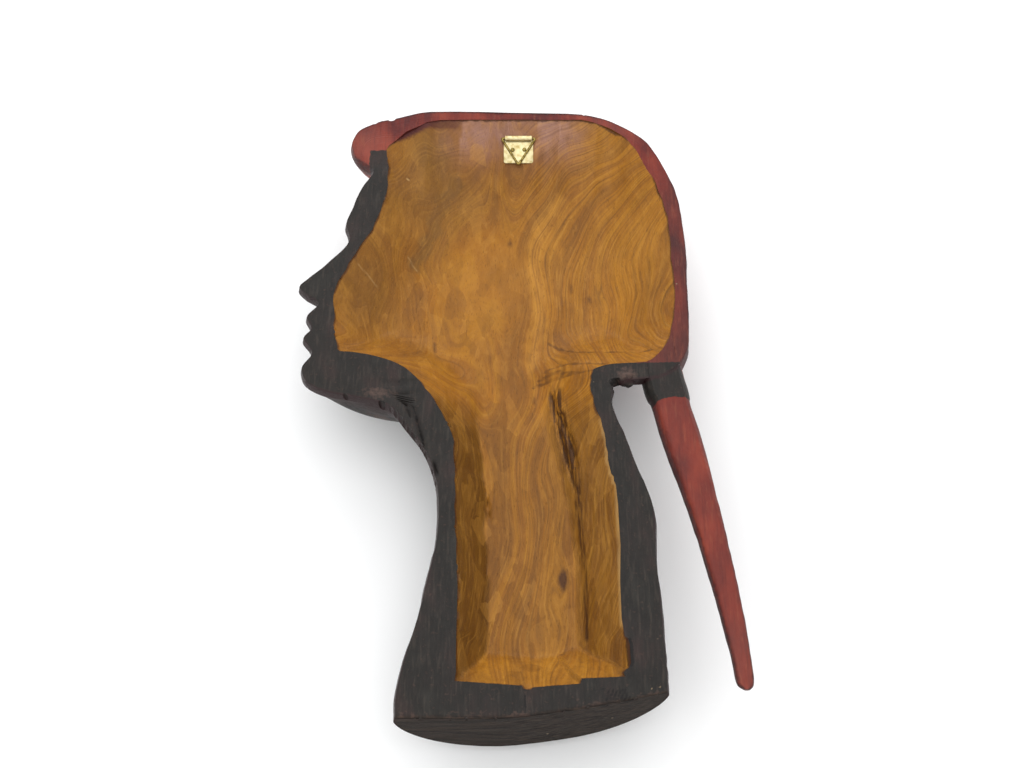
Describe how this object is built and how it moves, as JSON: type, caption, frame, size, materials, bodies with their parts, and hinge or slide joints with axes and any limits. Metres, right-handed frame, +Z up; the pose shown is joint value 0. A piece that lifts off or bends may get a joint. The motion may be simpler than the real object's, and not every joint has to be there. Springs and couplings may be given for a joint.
{
  "type": "wall mask",
  "caption": "Carved wooden half head in profile with a long neck and a plait, flat and hollowed at the back, with a small turning wire ring to hang it by.",
  "frame": {"origin": "on the plane of the flat back, level with the hanger's hinge and midway along it", "axes": "+Z up as the mask hangs, +Y out of the flat back towards the wall, +X the way the face looks"},
  "size_m": [0.2703, 0.0685, 0.4203],
  "materials": {
    "painted_wood": "carved wood, painted satin black and dark red outside, oiled bare wood in the hollow",
    "hanger_brass": "pressed brass sheet, bright but lightly dulled",
    "ring_brass": "drawn brass wire, darker than the plate",
    "nail_brass": "small bright nail head"
  },
  "bodies": {
    "mask": {"mask_body": "painted_wood", "hanger_plate": "hanger_brass", "hanger_nail_left": "nail_brass", "hanger_nail_right": "nail_brass"},
    "ring": {"hanger_ring": "ring_brass"}
  },
  "joints": [
    {"name": "ring_hinge", "type": "hinge", "parent": "mask", "child": "ring", "pos_m": [0, -0.00381, 0], "axis": [1, 0, 0], "range_deg": [0, 175]}
  ]
}
